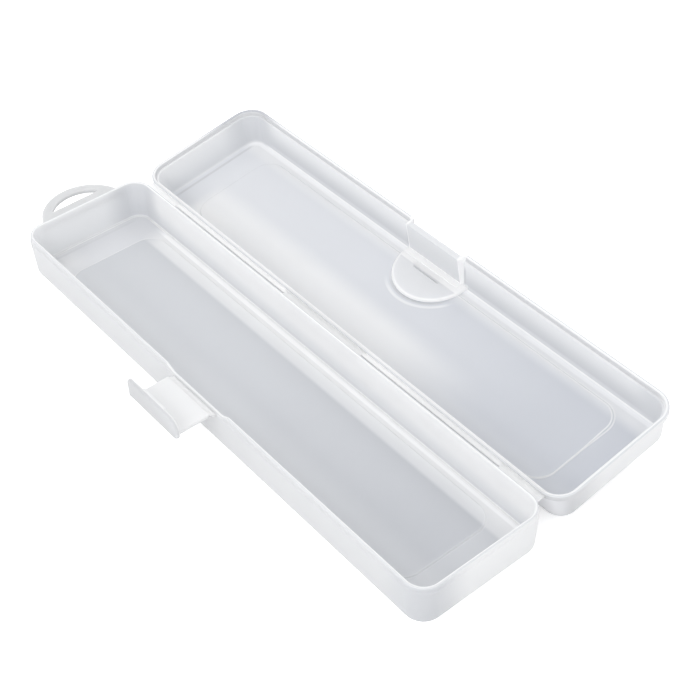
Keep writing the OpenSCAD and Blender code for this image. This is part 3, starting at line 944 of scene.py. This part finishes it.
def make_lid_tray(material):
    """The lid tray with its catch, laid open."""
    bm = bmesh.new()
    layers = stack_rings(bm, lid_rings())
    change_front(bm, layers, 1, {POCKET_OUT_AT: POCKET_OUT_TURN, POCKET_IN_AT: POCKET_IN_TURN})
    piece = to_mesh("lid_shell", bm)
    add_catch(piece)
    piece.data.transform(Matrix.Scale(MM, 4) @ lid_place @ Matrix.Scale(1 / MM, 4))
    dress(piece, material, "lid_shell", "lid_tray", "latch_catch")
    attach(piece, "lid")


def add_bow(bm, radius, chord_x, ease, root=()):
    """One outline of the loop: an arc whose ends are joined by a straight chord or by a root."""
    half = math.sqrt(radius ** 2 - (LOOP_X - chord_x) ** 2)
    turn = 2 * math.atan2(half, LOOP_X - chord_x)
    start = bm.verts.new((chord_x, half, LOOP_LOW))
    bmesh.ops.spin(bm, geom=[start], cent=(LOOP_X, 0, LOOP_LOW), axis=(0, 0, 1), angle=turn,
                   steps=LOOP_STEPS)
    ends = [spot for spot in bm.verts
            if abs(spot.co.x - chord_x) < 1e-3 and len(spot.link_edges) == 1]
    ends.sort(key=lambda spot: spot.co.y)
    corners = [bm.verts.new((x, y, LOOP_LOW)) for x, y in root]
    for pair in zip([ends[0]] + corners, corners + [ends[1]]):
        bm.edges.new(pair)
    for spot in ends:
        round_corners(bm, [spot], ease, EASE_STEPS)


def make_hang_loop(material):
    """A flat bow let into the end wall, with a D hole."""
    bm = bmesh.new()
    root = [(LOOP_WALL_X, -LOOP_ROOT_HALF), (LOOP_ROOT_X, -LOOP_ROOT_HALF),
            (LOOP_ROOT_X, LOOP_ROOT_HALF), (LOOP_WALL_X, LOOP_ROOT_HALF)]
    add_bow(bm, LOOP_R, LOOP_WALL_X, LOOP_OUTER_EASE, root)
    add_bow(bm, LOOP_R - LOOP_BAND, LOOP_HOLE_X, LOOP_HOLE_EASE)
    bmesh.ops.triangle_fill(bm, edges=bm.edges[:], use_beauty=True, use_dissolve=False)
    thicken(bm, bm.faces[:], LOOP_T, LOOP_EDGE, LOOP_EDGE)
    piece = to_mesh("loop", bm)
    dress(piece, material, "base_shell", "hang_loop")
    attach(piece, "base")


def bend_strip(bm, middle_z):
    """Turns the lid side of a flat strip up about the fold line, and grooves the strip there."""
    for vert in bm.verts:
        past_fold = vert.co.y - HINGE_Y
        groove = GROOVE * (1 - smooth_share(abs(past_fold) / GROOVE_HALF))
        vert.co.z += groove if vert.co.z < middle_z else -groove
        turn = LID_TILT * smooth_share((past_fold + FOLD_HALF) / (2 * FOLD_HALF))
        arm = Vector((0, past_fold, vert.co.z - HINGE_Z))
        arm.rotate(Matrix.Rotation(turn, 3, "X"))
        vert.co.y, vert.co.z = HINGE_Y + arm.y, HINGE_Z + arm.z


def web_end_x(end, side, y):
    """Where one end of a web lies: straight at the outer ends, hollow where it closes a slit."""
    if abs(end) == WEB_END:
        return end
    half = (SLIT[1] - SLIT[0]) / 2
    level = min(1.0, abs(y - sum(SLIT) / 2) / half)
    return end + side * half * (1 - math.sqrt(1 - level ** 2))


def make_web(name, start, stop, material):
    """A thin strip from tray to tray."""
    bm = bmesh.new()
    bmesh.ops.create_grid(bm, x_segments=1, y_segments=WEB_STEPS, size=1)
    for vert in bm.verts:
        side = math.copysign(1, vert.co.x)
        y = WEB_Y + WEB_HALF * vert.co.y
        vert.co = (web_end_x(start if side < 0 else stop, side, y), y, SHOULDER - WEB_T)
    thicken(bm, bm.faces[:], WEB_T, 0, 0)
    bend_strip(bm, SHOULDER - WEB_T / 2)
    piece = to_mesh("web_" + name, bm)
    dress(piece, material, "thin_web", f"hinge_web_{name}_base", f"hinge_web_{name}_lid")
    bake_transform(piece)


def make_ledge(name, start, stop, material):
    """The narrow ledge that the lid carries along one slit."""
    corners = [(start, LEDGE_FRONT, 0), (stop, LEDGE_FRONT, 0),
               (stop, LEDGE_BACK, 0), (start, LEDGE_BACK, 0)]
    piece = plate_piece("ledge_" + name, corners, SHOULDER - WEB_T + LEDGE_INSET, SHOULDER - LEDGE_INSET,
                        LEDGE_EASE, LEDGE_EASE, lid_turn)
    dress(piece, material, "thin_web", "hinge_web_middle_lid")
    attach(piece, "lid")


def make_latch(material):
    """Strap, flap and hook as one moulding."""
    on_fold = Matrix.Translation((LATCH_X, LATCH_Y, NOTCH_Z))
    upright = Matrix.Rotation(math.radians(90), 4, "X")
    across = on_fold @ Matrix.Rotation(math.radians(-90), 4, "Z") @ upright
    on_end = on_fold @ Matrix.Translation((0, FLAP_T - STRAP_L, 0)) @ upright
    inner = STRAP_L - FLAP_T
    end = inner + STRAP_LAP
    bend = [(STRAP_ROOT, STRAP_LOW, 0.3), (end, STRAP_LOW, 0.05), (end, STRAP_BEND, 0.1),
            (inner, STRAP_BEND, 0.05), (inner, STRAP_HIGH, 1.0), (STRAP_ROOT, STRAP_HIGH, 0.5)]
    plate = [(-FLAP_HALF, STRAP_LOW, 0.8), (FLAP_HALF, STRAP_LOW, 2.4),
             (FLAP_HALF, FLAP_TOP, 4.0), (-FLAP_HALF, FLAP_TOP, 2.4)]
    ridge = [(x, y, HOOK_EASE) for x, y in ((-HOOK_HALF, HOOK[0]), (HOOK_HALF, HOOK[0]),
                                            (HOOK_HALF, HOOK[1]), (-HOOK_HALF, HOOK[1]))]
    arm = plate_piece("latch_arm", bend, -STRAP_HALF, STRAP_HALF, 0.2, 0.2, across)
    flap = plate_piece("flap", plate, 0, FLAP_T, 0.25, 0.6, on_end)
    hook = plate_piece("hook", ridge, -HOOK_OUT, HOOK_OUT, HOOK_EASE, 0, on_end)
    combine(flap, hook, "UNION")
    combine(arm, flap, "UNION")
    dress(arm, material, "latch", "latch_strap", "latch_flap", "latch_hook")
    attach(arm, "latch")


def make_neck(material):
    """The thin lip that the latch folds on."""
    bm = bmesh.new()
    bmesh.ops.create_grid(bm, x_segments=1, y_segments=NECK_STEPS, size=1)
    outside = LATCH_Y - STRAP_ROOT - NECK_LAP
    for vert in bm.verts:
        vert.co.x = LATCH_X + STRAP_HALF * vert.co.x
        vert.co.y = NECK_Y + (1 + vert.co.y) / 2 * (outside - NECK_Y)
        vert.co.z = NECK_Z
    thicken(bm, bm.faces[:], NECK_T, 0, 0)
    bend_from, bend_length = NECK_BEND
    for vert in bm.verts:
        vert.co.z += NECK_RISE * smooth_share((LATCH_Y + bend_from - vert.co.y) / bend_length)
    piece = to_mesh("latch_neck", bm)
    dress(piece, material, "thin_web", "latch_web")
    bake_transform(piece)


bpy.context.scene.view_settings.view_transform = "Standard"
make_camera()
make_floor()
make_light()
base_finish = frosted_tray("frosted_base", BASE_LOOK)
lid_finish = frosted_tray("frosted_lid", LID_LOOK, (catch_floor, catch_pocket),
                          location=lid_place.translation, rotation=(LID_TILT, 0, 0))
loop_finish = frosted("frosted_loop", LOOP_TONE)
latch_finish = frosted_latch("frosted_latch")
# Painted glow on the webs, painted shade at their near end and more painted glow at the far end.
web_finish = frosted("frosted_web", WEB_TONE, WEB_LIGHT, near_shade=(0.55, 90.0, 94.0),
                     far_glow=FAR_WEB_LIGHT)
neck_finish = frosted("frosted_neck", NECK_TONE)
# Painted light and glow on the ledge, and painted shade towards its near end.
ledge_finish = frosted("frosted_ledge", LEDGE_LIT_TONE, LEDGE_LIGHT, near_shade=(0.6, 25.0, 60.0))
make_base_tray(base_finish)
make_lid_tray(lid_finish)
make_hang_loop(loop_finish)
for name, (start, stop) in WEBS.items():
    make_web(name, start, stop, web_finish)
for name, before, after in (("far", "far", "middle"), ("near", "middle", "near")):
    make_ledge(name, WEBS[before][1] - LEDGE_LAP, WEBS[after][0] + LEDGE_LAP, ledge_finish)
make_latch(latch_finish)
make_neck(neck_finish)
